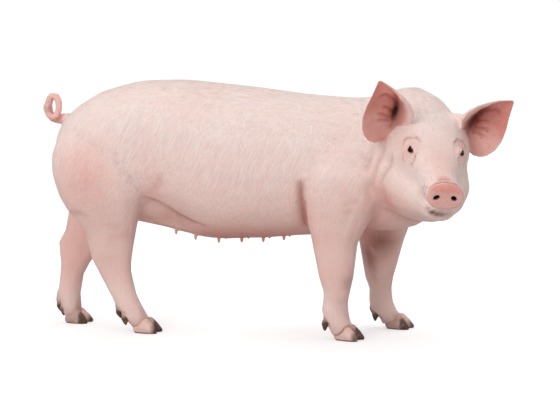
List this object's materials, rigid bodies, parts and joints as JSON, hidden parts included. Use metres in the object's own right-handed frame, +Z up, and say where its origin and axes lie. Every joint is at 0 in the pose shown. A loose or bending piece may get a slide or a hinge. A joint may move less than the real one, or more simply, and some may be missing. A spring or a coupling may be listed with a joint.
{
  "type": "standing pig",
  "caption": "Life-size pink pig standing square on the floor with its head turned to its right, ears pricked and tail curled; a still display model.",
  "frame": {"origin": "on the floor, under the middle of the whole animal's bounding box", "axes": "+X towards the front of the trunk, +Y towards the pig's left, +Z up; the head is turned towards -Y"},
  "size_m": [1.285, 0.5818, 0.6847],
  "materials": {
    "skin": "matte skin with short white bristles",
    "bare_skin": "thin pink-red skin, slightly moist",
    "horn": "worn horn, pink at the coronet and brown at the toe",
    "eye": "wet gloss, dark brown"
  },
  "bodies": {
    "root": {"foreleg_right": "skin", "foreleg_left": "skin", "hindleg_right": "skin", "hindleg_left": "skin", "trunk": "skin", "neck": "skin", "snout_disc": "bare_skin", "head": "skin", "ear_right": "bare_skin", "eye_right": "eye", "ear_left": "bare_skin", "eye_left": "eye", "tail": "skin", "claw_foreleg_right_outer": "horn", "dewclaw_foreleg_right_outer": "horn", "claw_foreleg_right_inner": "horn", "dewclaw_foreleg_right_inner": "horn", "claw_foreleg_left_outer": "horn", "dewclaw_foreleg_left_outer": "horn", "claw_foreleg_left_inner": "horn", "dewclaw_foreleg_left_inner": "horn", "claw_hindleg_right_outer": "horn", "dewclaw_hindleg_right_outer": "horn", "claw_hindleg_right_inner": "horn", "dewclaw_hindleg_right_inner": "horn", "claw_hindleg_left_outer": "horn", "dewclaw_hindleg_left_outer": "horn", "claw_hindleg_left_inner": "horn", "dewclaw_hindleg_left_inner": "horn"}
  },
  "joints": []
}
